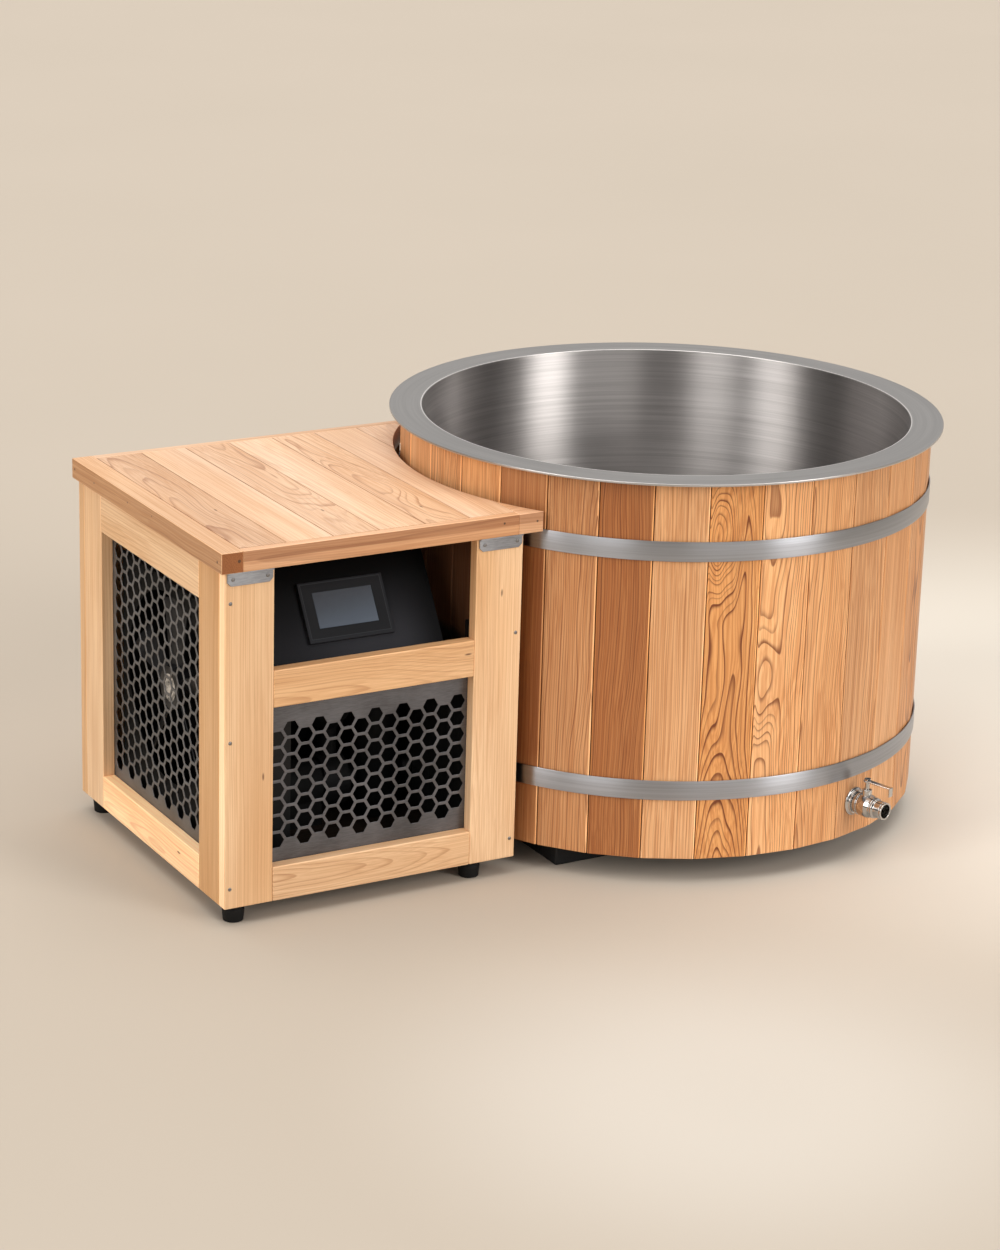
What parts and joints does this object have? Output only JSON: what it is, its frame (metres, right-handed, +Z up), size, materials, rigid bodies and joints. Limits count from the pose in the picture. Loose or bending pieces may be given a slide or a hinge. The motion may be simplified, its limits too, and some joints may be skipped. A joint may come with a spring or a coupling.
{
  "type": "cold plunge tub",
  "caption": "Round wooden barrel tub with a flanged steel liner, hoops and drain valve, beside a timber chiller cabinet with hexagon grilles, plank top and sloped touch panel.",
  "frame": {"origin": "on the floor under the middle of the barrel, on the underside of the skid's middle cross beam", "axes": "+Z up, +X along the cabinet's front face (the cabinet is on the -X side), -Y towards the front"},
  "size_m": [1.81, 1.2438, 0.876],
  "materials": {
    "cedar_stave": "oiled, satin",
    "cedar_top": "oiled, satin",
    "pine_frame": "oiled, satin",
    "inner_wood": "sawn, bare",
    "brushed_steel": "brushed",
    "bright_fitting": "polished",
    "grille_steel": "dull grey",
    "bracket_steel": "satin grey",
    "black_skid": "painted black",
    "foot_rubber": "matte",
    "seat_plastic": "matte",
    "foam": "closed cell",
    "panel_black": "powder coat",
    "screen_black": "fine grain",
    "screen_glass": "satin",
    "chiller_metal": "satin black",
    "coil_aluminium": "mill finish",
    "pump_plastic": "matte"
  },
  "bodies": {
    "tub": {"staves": "cedar_stave", "top_planks": "cedar_top", "top_left_rail": "cedar_top", "top_front_strip": "cedar_top", "top_right_block": "cedar_top", "top_rear_strip": "cedar_top", "front_left_stile": "pine_frame", "front_right_stile": "pine_frame", "front_middle_rail": "pine_frame", "front_bottom_rail": "pine_frame", "left_front_stile": "pine_frame", "left_rear_stile": "pine_frame", "left_top_rail": "pine_frame", "left_bottom_rail": "pine_frame", "rear_boards": "pine_frame", "inner_side_boards": "pine_frame", "floor_boards": "inner_wood", "cabinet_floor": "inner_wood", "liner_wall": "brushed_steel", "liner_floor": "brushed_steel", "rim_flange": "brushed_steel", "upper_hoop": "brushed_steel", "lower_hoop": "brushed_steel", "drain_tailpiece": "bright_fitting", "drain_strainer": "bright_fitting", "drain_escutcheon": "bright_fitting", "valve_body": "bright_fitting", "outlet_spigot": "bright_fitting", "hoop_bolts": "bright_fitting", "wall_fittings": "bright_fitting", "front_grille": "grille_steel", "left_grille": "grille_steel", "corner_brackets": "bracket_steel", "frame_screws": "bracket_steel", "base_long_beams": "black_skid", "base_cross_beams": "black_skid", "cabinet_feet": "foot_rubber", "drain_gasket": "foot_rubber", "valve_seats": "seat_plastic", "filter_cartridge": "seat_plastic", "insulation_wrap": "foam", "control_panel": "panel_black", "screen_housing": "screen_black", "power_inlet": "screen_black", "screen_glass": "screen_glass", "fan_shroud": "chiller_metal", "compressor": "chiller_metal", "heat_exchanger": "chiller_metal", "fan_motor": "chiller_metal", "pump_motor": "chiller_metal", "condenser_coil": "coil_aluminium", "pump_casing": "pump_plastic", "filter_housing": "pump_plastic", "water_pipes": "pump_plastic"},
    "drain_handle": {"drain_lever": "bright_fitting", "lever_nut": "bright_fitting", "valve_stem": "bright_fitting", "valve_ball": "bright_fitting"},
    "fan": {"fan_blades": "coil_aluminium"},
    "pump_impeller": {"pump_rotor": "pump_plastic"}
  },
  "joints": [
    {"name": "drain_lever_turn", "type": "hinge", "parent": "tub", "child": "drain_handle", "pos_m": [0.17649, -0.58182, 0.129], "axis": [0, 0, 1], "range_deg": [0, 90]},
    {"name": "fan_spin", "type": "hinge", "parent": "tub", "child": "fan", "pos_m": [-1.138, 0.051, 0.387], "axis": [1, 0, 0], "continuous": true},
    {"name": "pump_spin", "type": "hinge", "parent": "tub", "child": "pump_impeller", "pos_m": [-0.813, 0, 0.15], "axis": [1, 0, 0], "continuous": true}
  ]
}
